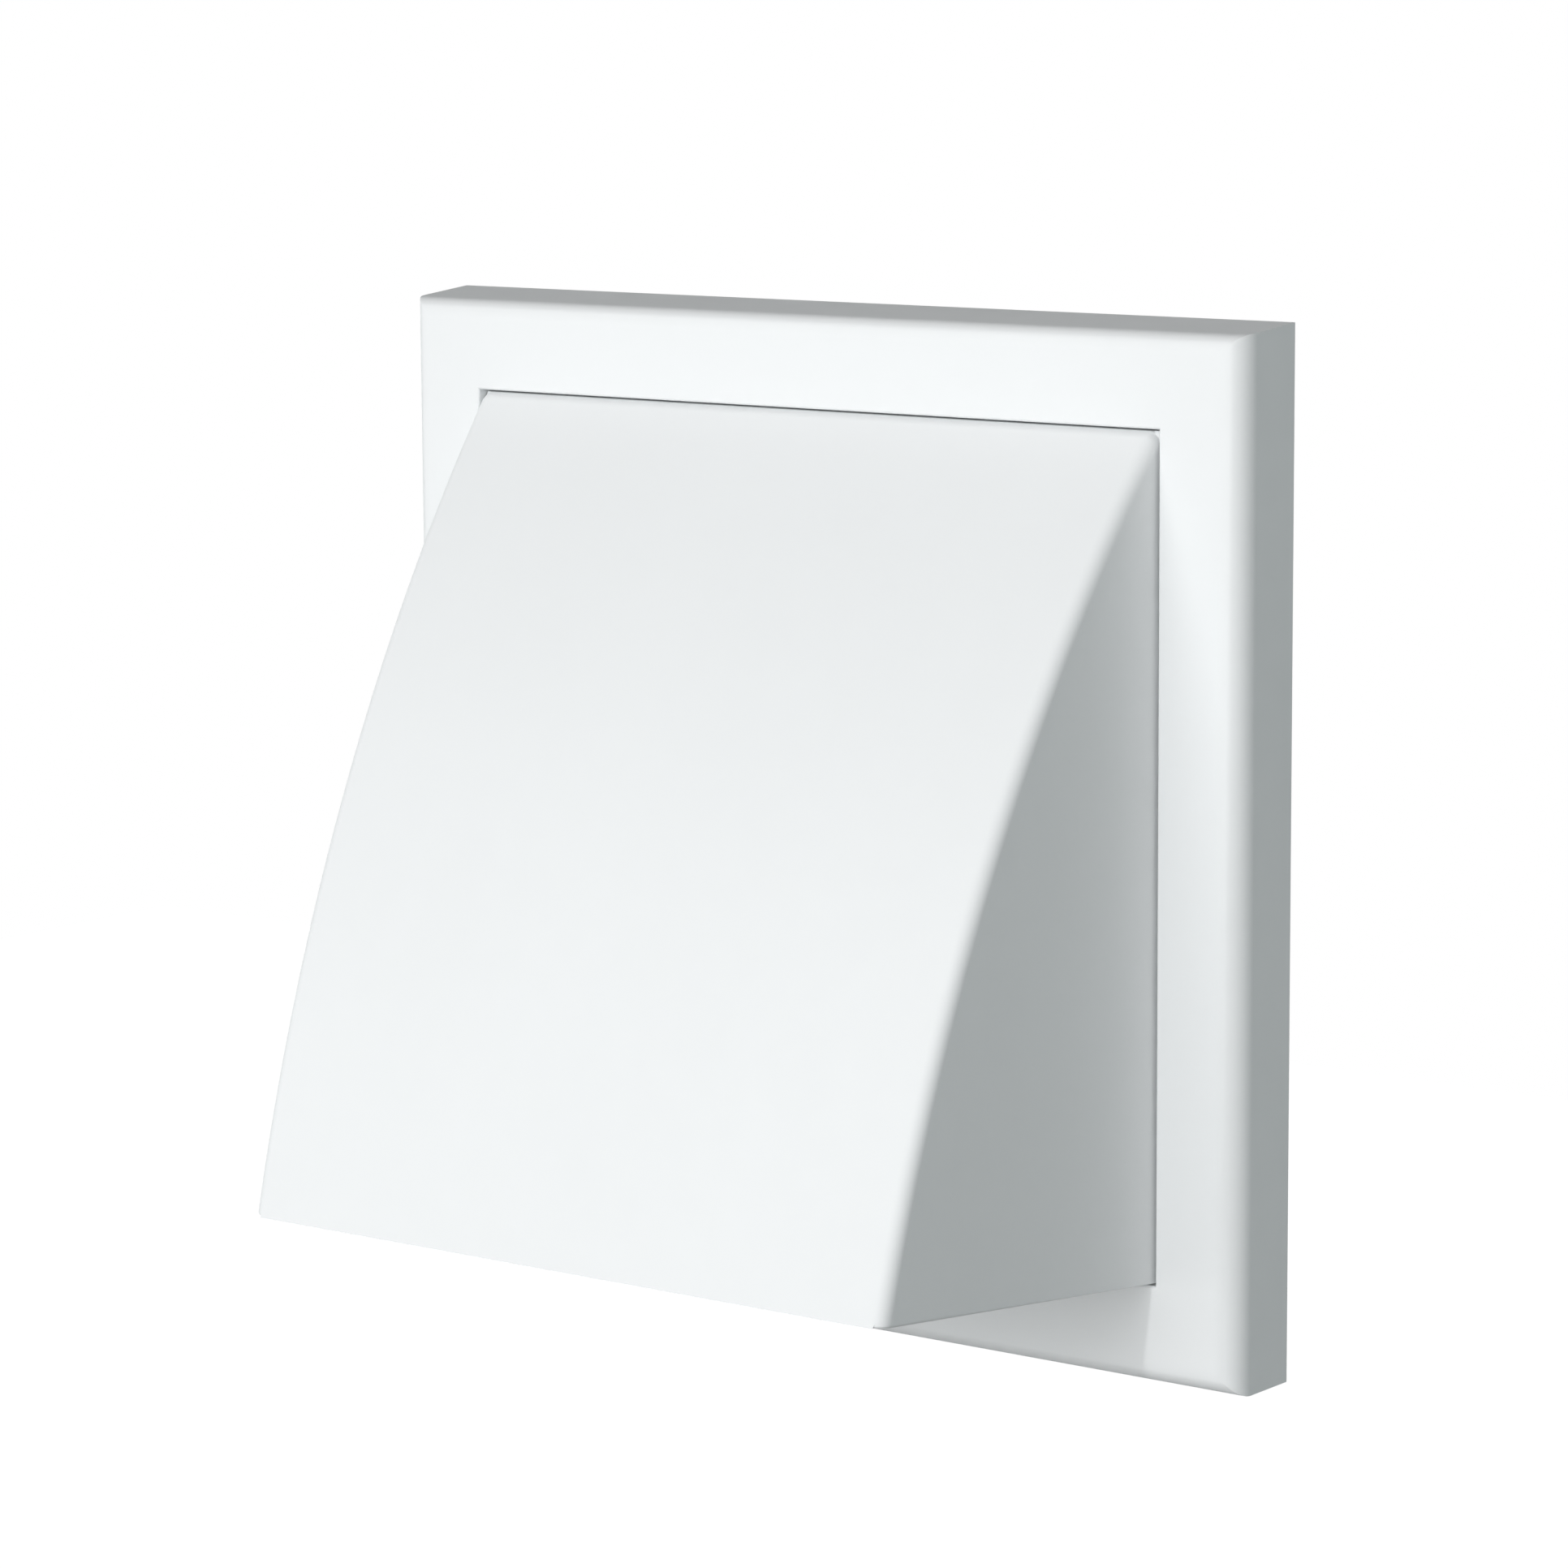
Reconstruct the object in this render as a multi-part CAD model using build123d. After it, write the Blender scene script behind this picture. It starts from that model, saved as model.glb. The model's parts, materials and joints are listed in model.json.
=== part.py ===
from build123d import *
import math
import os

# Hooded wall vent: a square wall frame with a duct spigot, a snap-in hood and a gravity flap.
# +X is to the right seen from the front, +Y goes into the wall and +Z is up.
# The origin lies on the duct axis in the plane of the wall. All sizes are in millimetres.

# Wall frame
FRAME_WIDTH = 154.0
FRAME_HEIGHT = 154.0
FRAME_DEPTH = 14.0
FRAME_WALL = 2.2
FRAME_EDGE_RADIUS = 4.0
WELL_WALL = 2.0
BACK_PLATE = 2.5
BACK_RIB_THICKNESS = 1.6
BACK_RIB_SETBACK = 2.0
BACK_RIB_PITCH = 42.0
BACK_RIBS_PER_SIDE = 3

# Duct spigot, and the raised seat that the flap closes on
SPIGOT_DIAMETER = 98.5
SPIGOT_WALL = 2.0
SPIGOT_LENGTH = 40.0
SPIGOT_LEAD_IN = 1.0
SEAT_HEIGHT = 2.0

# Countersunk fixing holes in bosses on the back plate
SCREW_PITCH_X = 107.0
SCREW_PITCH_Z = 107.0
SCREW_HOLE_DIAMETER = 4.5
SCREW_HEAD_DIAMETER = 8.5
SCREW_SINK_DEPTH = 2.0
BOSS_DIAMETER = 11.0
BOSS_HEIGHT = 1.5

# Hood
HOOD_WIDTH = 125.6
HOOD_HEIGHT = 123.6
HOOD_PROJECTION = 60.0
HOOD_FRONT_RADIUS = 305.0
HOOD_WALL = 2.2
HOOD_EDGE_RADIUS = 2.0
HOOD_TOP_RADIUS = 2.5
LIP_WIDTH = 116.6
LIP_RISE = 4.8
HOOD_COLLAR = 2.0

# Skirt that goes into the frame's opening, the stops it rests on, and its snap tongues
HOOD_GAP = 0.8
SKIRT_LENGTH = 6.0
STOP_WIDTH = 10.0
TONGUE_WIDTH = 12.0
TONGUE_THICKNESS = 1.8
TONGUE_LENGTH = 10.5
TONGUE_PITCH = 56.0
TONGUE_SLIT = 1.2
HOOK_CATCH = 1.1
HOOK_CATCH_DEPTH = 7.5
HOOK_CLEARANCE = 0.15
WINDOW_CLEARANCE = 0.5

# Gravity flap
FLAP_LAP = 3.0
FLAP_THICKNESS = 1.5
FLAP_SEAT_GAP = 0.3
FLAP_RIM_WIDTH = 1.5
FLAP_RIM_HEIGHT = 1.8
FLAP_RIB_THICKNESS = 1.2
FLAP_RIB_PITCH = 22.0
FLAP_RIBS = 3

# Hinge of the flap: a barrel with end pins that snap into slotted lugs
HINGE_ABOVE_FLAP = 4.0
BARREL_DIAMETER = 4.4
BARREL_LENGTH = 70.0
BARREL_GAP = 0.3
PIN_DIAMETER = 3.0
PIN_CLEARANCE = 0.06
PIN_END_GAP = 0.4
LUG_THICKNESS = 3.0
LUG_WALL = 2.0
LUG_SLOT_GRIP = 0.2

# How far a cutting solid reaches past the faces that it cuts
PAST = 5.0

# Places that follow from the sizes
FRONT_Y = -FRAME_DEPTH
COLLAR_Y = FRONT_Y + HOOD_COLLAR
SKIRT_Y = FRONT_Y + SKIRT_LENGTH
LIP_Y = FRONT_Y - HOOD_PROJECTION
PLATE_Y = -BACK_PLATE
SEAT_Y = PLATE_Y - SEAT_HEIGHT
OPENING_WIDTH = HOOD_WIDTH + 2 * HOOD_GAP
OPENING_HEIGHT = HOOD_HEIGHT + 2 * HOOD_GAP
SPIGOT_RADIUS = SPIGOT_DIAMETER / 2
BORE_RADIUS = SPIGOT_RADIUS - SPIGOT_WALL
CATCH_Y = FRONT_Y + HOOK_CATCH_DEPTH
TONGUE_END_Y = FRONT_Y + TONGUE_LENGTH
FLAP_RADIUS = BORE_RADIUS + FLAP_LAP
FLAP_BACK_Y = SEAT_Y - FLAP_SEAT_GAP
FLAP_FRONT_Y = FLAP_BACK_Y - FLAP_THICKNESS
FLAP_RIM_Y = FLAP_FRONT_Y - FLAP_RIM_HEIGHT
BARREL_RADIUS = BARREL_DIAMETER / 2
PIN_RADIUS = PIN_DIAMETER / 2
HINGE_Y = PLATE_Y - BARREL_GAP - BARREL_RADIUS
HINGE_Z = FLAP_RADIUS + HINGE_ABOVE_FLAP
LUG_X = BARREL_LENGTH / 2 + PIN_END_GAP + LUG_THICKNESS / 2
LUG_RADIUS = PIN_RADIUS + LUG_WALL


def block(width, y_front, y_back, height, x=0.0, z=0.0):
    """A box between two depths, centred on x and z."""
    return Pos(x, (y_front + y_back) / 2, z) * Box(width, y_back - y_front, height)


def rod_into_wall(radius, y_front, y_back, x=0.0, z=0.0):
    """A round bar along Y between two depths."""
    return Pos(x, (y_front + y_back) / 2, z) * Rot(X=90) * Cylinder(radius, y_back - y_front)


def rod_across(radius, length, y, z, x=0.0):
    """A round bar along X, centred on its place."""
    return Pos(x, y, z) * Rot(Y=90) * Cylinder(radius, length)


def mirrored_places(pitch_x, pitch_z):
    """The four places at half a pitch to each side of the duct axis."""
    return [(x, z) for x in (-pitch_x / 2, pitch_x / 2) for z in (-pitch_z / 2, pitch_z / 2)]


def spread(count, pitch):
    """Evenly spaced places about zero."""
    return [(i - (count - 1) / 2) * pitch for i in range(count)]


# Wall frame


def round_front(outline):
    """Rounds the two front corners of a section whose first axis is the depth."""
    return fillet(outline.vertices().sort_by(Axis.X)[:2], FRAME_EDGE_RADIUS)


def frame_block():
    """The frame's outside: two rounded bars crossed, so that the roundings meet in mitres."""
    across = round_front(Pos(FRONT_Y / 2, 0) * Rectangle(FRAME_DEPTH, FRAME_HEIGHT))
    upright = round_front(Pos(FRONT_Y / 2, 0) * Rectangle(FRAME_DEPTH, FRAME_WIDTH))
    across_bar = extrude(Plane.YZ * across, FRAME_WIDTH / 2, both=True)
    upright_plane = Plane((0, 0, 0), x_dir=(0, 1, 0), z_dir=(0, 0, 1))
    upright_bar = extrude(upright_plane * upright, FRAME_HEIGHT / 2, both=True)
    return across_bar & upright_bar


def back_ribs(pocket_width, pocket_height, well_width, well_height):
    """Stiffening ribs across the hollow between the rim and the well."""
    y_front = FRONT_Y + FRAME_WALL
    gap_x = (pocket_width - well_width) / 2
    gap_z = (pocket_height - well_height) / 2
    ribs = []
    for along in spread(BACK_RIBS_PER_SIDE, BACK_RIB_PITCH):
        for side in (-1, 1):
            x = side * (well_width + gap_x) / 2
            z = side * (well_height + gap_z) / 2
            ribs.append(block(gap_x, y_front, -BACK_RIB_SETBACK, BACK_RIB_THICKNESS, x, along))
            ribs.append(block(BACK_RIB_THICKNESS, y_front, -BACK_RIB_SETBACK, gap_z, along, z))
    return ribs


def hood_stops():
    """Ribs on the well's walls that the hood's skirt rests on, one in the middle of each side."""
    depth = HOOD_WALL + HOOD_GAP
    stops = []
    for side in (-1, 1):
        x = side * (OPENING_WIDTH - depth) / 2
        z = side * (OPENING_HEIGHT - depth) / 2
        stops.append(block(depth, SKIRT_Y, PLATE_Y, STOP_WIDTH, x, 0.0))
        stops.append(block(STOP_WIDTH, SKIRT_Y, PLATE_Y, depth, 0.0, z))
    return stops


def spigot():
    """The duct spigot with its lead-in, the flap's seat in one piece with it."""
    tube = rod_into_wall(SPIGOT_RADIUS, SEAT_Y, SPIGOT_LENGTH)
    return chamfer(tube.edges().sort_by(Axis.Y)[-1], SPIGOT_LEAD_IN)


def screw_hole(x, z):
    """A clearance hole with a countersink in the boss's front."""
    boss_y = PLATE_Y - BOSS_HEIGHT
    hole = rod_into_wall(SCREW_HOLE_DIAMETER / 2, boss_y - PAST, PAST, x, z)
    cone = Cone(SCREW_HEAD_DIAMETER / 2, SCREW_HOLE_DIAMETER / 2, SCREW_SINK_DEPTH)
    return hole + Pos(x, boss_y + SCREW_SINK_DEPTH / 2, z) * Rot(X=-90) * cone


def hinge_lug(side):
    """A slotted lug on the back plate that a hinge pin snaps into."""
    x = side * LUG_X
    lug = block(LUG_THICKNESS, HINGE_Y, PLATE_Y, 2 * LUG_RADIUS, x, HINGE_Z)
    lug += rod_across(LUG_RADIUS, LUG_THICKNESS, HINGE_Y, HINGE_Z, x)
    lug -= rod_across(PIN_RADIUS + PIN_CLEARANCE, LUG_THICKNESS, HINGE_Y, HINGE_Z, x)
    slot_height = 2 * (PIN_RADIUS - LUG_SLOT_GRIP)
    return lug - block(LUG_THICKNESS, HINGE_Y - LUG_RADIUS, HINGE_Y, slot_height, x, HINGE_Z)


def wall_frame():
    """The rim, the well that takes the hood, the back plate and the spigot, in one moulding."""
    pocket_width = FRAME_WIDTH - 2 * FRAME_WALL
    pocket_height = FRAME_HEIGHT - 2 * FRAME_WALL
    well_width = OPENING_WIDTH + 2 * WELL_WALL
    well_height = OPENING_HEIGHT + 2 * WELL_WALL
    pocket = block(pocket_width, FRONT_Y + FRAME_WALL, PAST, pocket_height)
    pocket -= block(well_width, FRONT_Y, PAST, well_height)
    frame = frame_block() - pocket
    frame -= block(OPENING_WIDTH, FRONT_Y - PAST, PLATE_Y, OPENING_HEIGHT)
    frame += hood_stops()
    window_height = TONGUE_WIDTH + 2 * WINDOW_CLEARANCE
    for x, z in mirrored_places(OPENING_WIDTH + WELL_WALL, TONGUE_PITCH):
        frame -= block(2 * WELL_WALL, CATCH_Y, TONGUE_END_Y + WINDOW_CLEARANCE, window_height, x, z)
    frame += back_ribs(pocket_width, pocket_height, well_width, well_height)
    frame += spigot()
    frame -= rod_into_wall(BORE_RADIUS, SEAT_Y - PAST, SPIGOT_LENGTH + PAST)
    for x, z in mirrored_places(SCREW_PITCH_X, SCREW_PITCH_Z):
        frame += rod_into_wall(BOSS_DIAMETER / 2, PLATE_Y - BOSS_HEIGHT, PLATE_Y, x, z)
        frame -= screw_hole(x, z)
    for side in (-1, 1):
        frame += hinge_lug(side)
    return frame


# Hood


def hood_arc():
    """Root, crown, lip and centre of the bowed front, in Y and Z."""
    root = Vector(FRONT_Y, HOOD_HEIGHT / 2)
    lip = Vector(LIP_Y, LIP_RISE - HOOD_HEIGHT / 2)
    middle = (root + lip) / 2
    along = (lip - root).normalized()
    inward = Vector(-along.Y, along.X)
    centre_depth = math.sqrt(HOOD_FRONT_RADIUS**2 - ((lip - root).length / 2) ** 2)
    crown = middle - inward * (HOOD_FRONT_RADIUS - centre_depth)
    return root, crown, lip, middle + inward * centre_depth


def side_taper(inset):
    """An upright prism between the tapering side walls, each moved in by inset."""
    lean = math.atan2((HOOD_WIDTH - LIP_WIDTH) / 2, COLLAR_Y - LIP_Y)
    root_x = HOOD_WIDTH / 2 - inset / math.cos(lean)
    lip_x = LIP_WIDTH / 2 - inset / math.cos(lean)
    plan = Polygon((-root_x, COLLAR_Y), (-lip_x, LIP_Y), (lip_x, LIP_Y), (root_x, COLLAR_Y), align=None)
    return extrude(plan, HOOD_HEIGHT / 2 + PAST, both=True)


def cowl():
    """The hood's outside from its collar to the lip, with its top and side edges rounded."""
    root, crown, lip, centre = hood_arc()
    top = Vector(COLLAR_Y, root.Y)
    heel = Vector(COLLAR_Y, -root.Y)
    foot = Vector(FRONT_Y, -root.Y)
    outline = make_face(Polyline(lip, foot, heel, top, root) + ThreePointArc(root, crown, lip))
    outline = fillet(outline.vertices().group_by(Axis.Y)[-1].sort_by(Axis.X)[0], HOOD_TOP_RADIUS)
    solid = extrude(Plane.YZ * outline, HOOD_WIDTH / 2, both=True) & side_taper(0.0)
    front = solid.faces().filter_by(GeomType.CYLINDER).sort_by(SortBy.AREA)[-1]
    return fillet(front.edges().filter_by(Axis.X, reverse=True), HOOD_EDGE_RADIUS)


def snap_tongue(side, z):
    """A springy tongue in the skirt's side, its hook in a window of the well."""
    x = side * (HOOD_WIDTH - TONGUE_THICKNESS) / 2
    tongue = block(TONGUE_THICKNESS, COLLAR_Y, TONGUE_END_Y, TONGUE_WIDTH, x, z)
    skin_x = side * HOOD_WIDTH / 2
    tip_x = side * (OPENING_WIDTH / 2 + HOOK_CATCH)
    catch_y = CATCH_Y + HOOK_CLEARANCE
    hook = make_face(Polyline((skin_x, catch_y), (tip_x, catch_y), (skin_x, TONGUE_END_Y), close=True))
    return tongue + Pos(0, 0, z) * extrude(hook, TONGUE_WIDTH / 2, both=True)


def hood():
    """The cowl, and the skirt and tongues that go into the frame."""
    centre = hood_arc()[3]
    solid = cowl() + block(HOOD_WIDTH, COLLAR_Y, SKIRT_Y, HOOD_HEIGHT)
    inside = rod_across(HOOD_FRONT_RADIUS - HOOD_WALL, 2 * HOOD_WIDTH, centre.X, centre.Y)
    mouth = block(HOOD_WIDTH, LIP_Y, FRONT_Y, HOOD_HEIGHT + 2 * PAST)
    throat = block(HOOD_WIDTH - 2 * HOOD_WALL, FRONT_Y, SKIRT_Y, HOOD_HEIGHT - 2 * HOOD_WALL)
    solid -= inside & side_taper(HOOD_WALL) & mouth
    solid -= inside & throat
    slit_width = TONGUE_WIDTH + 2 * TONGUE_SLIT
    for side, z in mirrored_places(2.0, TONGUE_PITCH):
        solid -= block(2 * HOOD_WALL, COLLAR_Y, SKIRT_Y, slit_width, side * HOOD_WIDTH / 2, z)
        solid += snap_tongue(side, z)
    return solid


# Flap


def flap_outline(y_front, y_back):
    """The round flap with the shoulder that carries its barrel, between two depths."""
    shoulder = block(BARREL_LENGTH, y_front, y_back, HINGE_Z, 0.0, HINGE_Z / 2)
    return rod_into_wall(FLAP_RADIUS, y_front, y_back) + shoulder


def flap():
    """The flap plate with its rim, ribs, hinge barrel and end pins."""
    rim = rod_into_wall(FLAP_RADIUS, FLAP_RIM_Y, FLAP_FRONT_Y)
    rim -= rod_into_wall(FLAP_RADIUS - FLAP_RIM_WIDTH, FLAP_RIM_Y, FLAP_FRONT_Y)
    solid = flap_outline(FLAP_FRONT_Y, FLAP_BACK_Y) + rim
    for x in spread(FLAP_RIBS, FLAP_RIB_PITCH):
        rib = block(FLAP_RIB_THICKNESS, FLAP_RIM_Y, FLAP_FRONT_Y, 2 * HINGE_Z, x)
        solid += rib & flap_outline(FLAP_RIM_Y, FLAP_FRONT_Y)
    pin_length = BARREL_LENGTH + 2 * (PIN_END_GAP + LUG_THICKNESS)
    solid += rod_across(BARREL_RADIUS, BARREL_LENGTH, HINGE_Y, HINGE_Z)
    return solid + rod_across(PIN_RADIUS, pin_length, HINGE_Y, HINGE_Z)


os.makedirs("parts", exist_ok=True)
export_step(wall_frame(), "parts/wall_frame.step")
export_step(hood(), "parts/hood.step")
export_step(flap(), "parts/flap.step")
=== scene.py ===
import json
import math

import bmesh
import bpy
from bpy.props import FloatProperty, FloatVectorProperty, IntProperty, PointerProperty
from mathutils import Matrix, Quaternion, Vector

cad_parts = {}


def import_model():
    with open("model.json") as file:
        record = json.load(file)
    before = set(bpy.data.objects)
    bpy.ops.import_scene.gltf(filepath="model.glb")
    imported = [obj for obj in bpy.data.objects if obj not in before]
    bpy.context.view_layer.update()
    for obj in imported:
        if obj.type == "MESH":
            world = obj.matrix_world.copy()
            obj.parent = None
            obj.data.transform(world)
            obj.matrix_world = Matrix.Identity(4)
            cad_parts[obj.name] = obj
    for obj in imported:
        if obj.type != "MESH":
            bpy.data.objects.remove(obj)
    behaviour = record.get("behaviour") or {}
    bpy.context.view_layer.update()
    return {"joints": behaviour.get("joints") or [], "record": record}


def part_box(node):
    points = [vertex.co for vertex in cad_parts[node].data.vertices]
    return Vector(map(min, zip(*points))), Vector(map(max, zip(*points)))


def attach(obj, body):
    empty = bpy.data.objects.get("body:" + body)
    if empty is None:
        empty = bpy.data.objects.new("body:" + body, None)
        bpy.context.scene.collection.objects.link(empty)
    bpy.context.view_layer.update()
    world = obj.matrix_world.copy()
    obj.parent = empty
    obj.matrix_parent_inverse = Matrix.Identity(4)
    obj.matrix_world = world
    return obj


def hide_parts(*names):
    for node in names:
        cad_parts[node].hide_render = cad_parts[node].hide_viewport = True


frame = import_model()

bl_info = {
    "name": "Hooded wall vent",
    "version": (1, 0, 0),
    "blender": (4, 5, 0),
    "location": "View3D > Sidebar > Wall vent",
    "description": "Models a wall vent's frame, hood and flap in their packed places, and lights them",
    "category": "Object",
}

# Places and sizes that the packed part gives
MM = 0.001
FRAME_LOW, FRAME_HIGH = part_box("wall_frame")
HOOD_LOW, HOOD_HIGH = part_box("hood")
FLAP_LOW, FLAP_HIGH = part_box("flap")
MOUNTS = {mount["name"]: mount["dims"] for mount in frame["record"]["mounts"]}
SPIGOT = MOUNTS["spigot"]
SCREWS = MOUNTS["screw_holes"]
HINGE = Vector(frame["joints"][0]["pos_m"])

# Limits that keep the meshes clean
MERGE_DISTANCE = 0.002 * MM
SHARP_ANGLE = math.radians(28)
FINE_EDGE = 0.3 * MM
SPIGOT_STEPS = 128

# Joined shapes reach into each other by EMBED, and cutting shapes past what they cut by PAST
EMBED = 0.5 * MM
PAST = 3.0 * MM

# Parts of a face's normal that tell the hood's sides, its front and its underside apart
SIDEWAYS = 0.9
AHEAD = 0.05
DOWNWARDS = 0.5


def length(name, description, millimetres):
    """A settable length, written in millimetres and kept in metres."""
    return FloatProperty(name=name, description=description, default=millimetres * MM, unit="LENGTH")


def angle(name, description, degrees):
    """A settable angle, written in degrees and kept in radians."""
    return FloatProperty(name=name, description=description, default=math.radians(degrees), subtype="ANGLE")


def position(name, description, millimetres):
    """A settable place, written in millimetres and kept in metres."""
    metres = [value * MM for value in millimetres]
    return FloatVectorProperty(
        name=name, description=description, default=metres, subtype="XYZ", unit="LENGTH"
    )


def watts(name, description, power):
    """A settable lamp's power."""
    return FloatProperty(name=name, description=description, default=power, unit="POWER")


def count(name, description, number):
    """A settable number of like features."""
    return IntProperty(name=name, description=description, default=number, min=1)


def linear(hex_colour):
    """An sRGB hex colour as linear red, green, blue and alpha."""
    parts = [int(hex_colour[i:i + 2], 16) / 255 for i in (1, 3, 5)]
    return [c / 12.92 if c <= 0.04045 else ((c + 0.055) / 1.055) ** 2.4 for c in parts] + [1.0]


def colour(name, description, hex_colour):
    """A settable colour, written as sRGB hex and kept linear."""
    return FloatVectorProperty(
        name=name, description=description, default=linear(hex_colour), subtype="COLOR", size=4,
        min=0.0, max=1.0,
    )


# Settings that a user would change


class VentFrameSizes(bpy.types.PropertyGroup):
    """Sizes of the wall frame's moulding."""

    half_width: length("Half width", "Duct axis to the frame's outer side", FRAME_HIGH.x / MM)
    front: length("Front", "Depth of the front face, in front of the wall plane", FRAME_LOW.y / MM)
    spigot_end: length("Spigot end", "Depth of the spigot's end, behind the wall plane", FRAME_HIGH.y / MM)
    wall: length("Wall", "Thickness of the rim and the front skin", 2.2)
    edge_radius: length("Edge radius", "Rounding of the outer front edges at the sides and the foot", 4.0)
    top_edge_radius: length("Top edge radius", "Rounding of the top's front edge, which is tighter", 2.5)
    top_fall: length("Top fall", "The top falls by this much to the front, so that rain runs off", 1.3)
    opening_half_x: length("Opening half width", "Duct axis to the opening's side", 63.1)
    opening_half_z: length("Opening half height", "Duct axis to the opening's top", 62.1)
    opening_radius: length("Opening radius", "Rounding of the opening's front edge", 0.5)
    well_wall: length("Well wall", "Thickness of the wall round the opening", 2.0)
    stop_front: length("Stop front", "Depth of the stops that the hood's skirt rests on", -8.0)
    stop_height: length("Stop height", "The stops stand out from the well's wall by this much", 2.5)
    stop_half: length("Stop half width", "Half width of the stops", 5.0)
    plate: length("Back plate", "Thickness of the plate round the spigot", 2.5)
    seat_height: length("Seat height", "Height of the flap's seat on the plate", 2.0)
    spigot_radius: length("Spigot radius", "Outer radius of the spigot", SPIGOT["r_mm"])
    spigot_wall: length("Spigot wall", "Thickness of the spigot", 2.0)
    lead_in: length("Lead-in", "Chamfer on the spigot's end", 1.0)
    rib_thickness: length("Rib thickness", "Thickness of the ribs behind the front skin", 1.6)
    rib_setback: length("Rib setback", "Ribs stop this far from the wall plane", 2.0)
    rib_pitch: length("Rib pitch", "Spacing of the ribs along each side", 42.0)
    ribs: count("Ribs", "Ribs along each side", 3)
    screw_pitch_x: length("Screw pitch across", "Spacing of the screw holes in X", SCREWS["spacing_x_mm"])
    screw_pitch_z: length("Screw pitch up", "Spacing of the screw holes in Z", SCREWS["spacing_y_mm"])
    screw_radius: length("Screw hole radius", "Clearance for the screw's shank", SCREWS["hole_r_mm"])
    screw_head_radius: length("Screw head radius", "Countersink at the boss's front", 4.25)
    screw_sink: length("Countersink depth", "Depth of the countersink", 2.0)
    boss_radius: length("Boss radius", "Radius of the screw bosses", 5.5)
    boss_height: length("Boss height", "Height of the screw bosses on the plate", 1.5)
    lug_x: length("Lug place", "Duct axis to the middle of a hinge lug", 36.9)
    lug_thickness: length("Lug thickness", "Thickness of the hinge lugs", 3.0)
    lug_radius: length("Lug radius", "Rounding of the lugs round the hinge pin", 3.5)
    pin_bore_radius: length("Pin bore radius", "Bore for the hinge pin", 1.56)
    slot_half: length("Slot half height", "Half height of the slot that the pin snaps through", 1.3)
    window_front: length("Window front", "Depth of the snap windows' front edge", -6.5)
    window_back: length("Window back", "Depth of the snap windows' back edge", -3.0)
    window_half: length("Window half height", "Half height of the snap windows", 6.5)
    window_pitch: length("Window pitch", "Spacing of the windows in Z", 56.0)


class VentHoodSizes(bpy.types.PropertyGroup):
    """Sizes of the hood's moulding."""

    half_width: length("Half width", "Duct axis to the hood's side at its collar", 62.8)
    top: length("Top", "Duct axis to the hood's top edge", HOOD_HIGH.z / MM)
    collar: length("Collar", "Depth where the sides start to taper, inside the frame's opening", -12.0)
    front: length("Front", "Depth where the bow starts, flush with the frame's face", FRAME_LOW.y / MM)
    lip: length("Lip", "Depth of the lip's front", HOOD_LOW.y / MM)
    lip_rise: length("Lip rise", "The lip lies this much higher than the hood's foot", 4.8)
    lip_half_width: length("Lip half width", "Duct axis to the hood's side at the lip", 58.3)
    bow_radius: length("Bow radius", "Bow of the hood's front", 305.0)
    wall: length("Wall", "Thickness of the hood", 2.2)
    edge_radius: length("Edge radius", "Rounding of the front's side edges", 2.0)
    top_radius: length("Top radius", "Rounding of the top edge", 2.5)
    rim_radius: length("Rim radius", "Rounding of the open rim's edges", 0.8)
    skirt_end: length("Skirt end", "Depth of the skirt's end, on the frame's stops", -8.0)
    tongue_thickness: length("Tongue thickness", "Thickness of the snap tongues", 1.8)
    tongue_slit: length("Tongue slit", "Width of the slits that free a tongue", 1.2)
    tongue_end: length("Tongue end", "Depth of the snap tongues' ends", HOOD_HIGH.y / MM)
    tongue_half: length("Tongue half height", "Half height of the snap tongues", 6.0)
    tongue_pitch: length("Tongue pitch", "Spacing of the tongues in Z", 56.0)
    hook_tip: length("Hook tip", "Duct axis to the tip of a hook", HOOD_HIGH.x / MM)
    hook_face: length("Hook face", "Depth of the hooks' holding face", -6.35)


class VentFlapSizes(bpy.types.PropertyGroup):
    """Sizes of the gravity flap's moulding."""

    radius: length("Radius", "Radius of the flap's disc", -FLAP_LOW.z / MM)
    back: length("Back", "Depth of the disc's back, off its seat", -4.8)
    rim_front: length("Rim front", "Depth of the rim's front", FLAP_LOW.y / MM)
    plate: length("Plate", "Thickness of the disc", 1.5)
    rim_width: length("Rim width", "Width of the rim", 1.5)
    rib_thickness: length("Rib thickness", "Thickness of the ribs", 1.2)
    rib_pitch: length("Rib pitch", "Spacing of the ribs", 22.0)
    ribs: count("Ribs", "Upright ribs on the disc's front", 3)
    barrel_radius: length("Barrel radius", "Radius of the hinge barrel", (FLAP_HIGH.z - HINGE.z) / MM)
    barrel_half: length("Barrel half length", "Half length of the hinge barrel", 35.0)
    pin_radius: length("Pin radius", "Radius of the end pins", 1.5)
    pin_half: length("Pin half length", "Duct axis to the end of a pin", 38.4)


class VentFinish(bpy.types.PropertyGroup):
    """Colours and grain of the plastics"""

    shell_colour: colour("Shell", "Frame and hood", "#F0F2F3")
    shell_shade: colour("Shell, flow marks", "Faint cloud where the melt cooled last", "#EDEFF0")
    flap_colour: colour("Flap", "Flap", "#E9EBEA")
    flap_shade: colour("Flap, flow marks", "Faint cloud where the melt cooled last", "#E2E5E4")
    grain: length("Grain", "Width of the tool's spark-eroded grain", 0.45)
    grain_depth: length("Grain depth", "Depth of the grain", 0.006)
    cloud: length("Cloud", "Width of the flow marks", 38.0)
    sink_depth: length("Sink depth", "Depth of the shallow sinks under the flow marks", 0.02)
    gloss_patch: length("Gloss patch", "Width of the patches whose gloss differs a little", 4.75)


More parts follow.
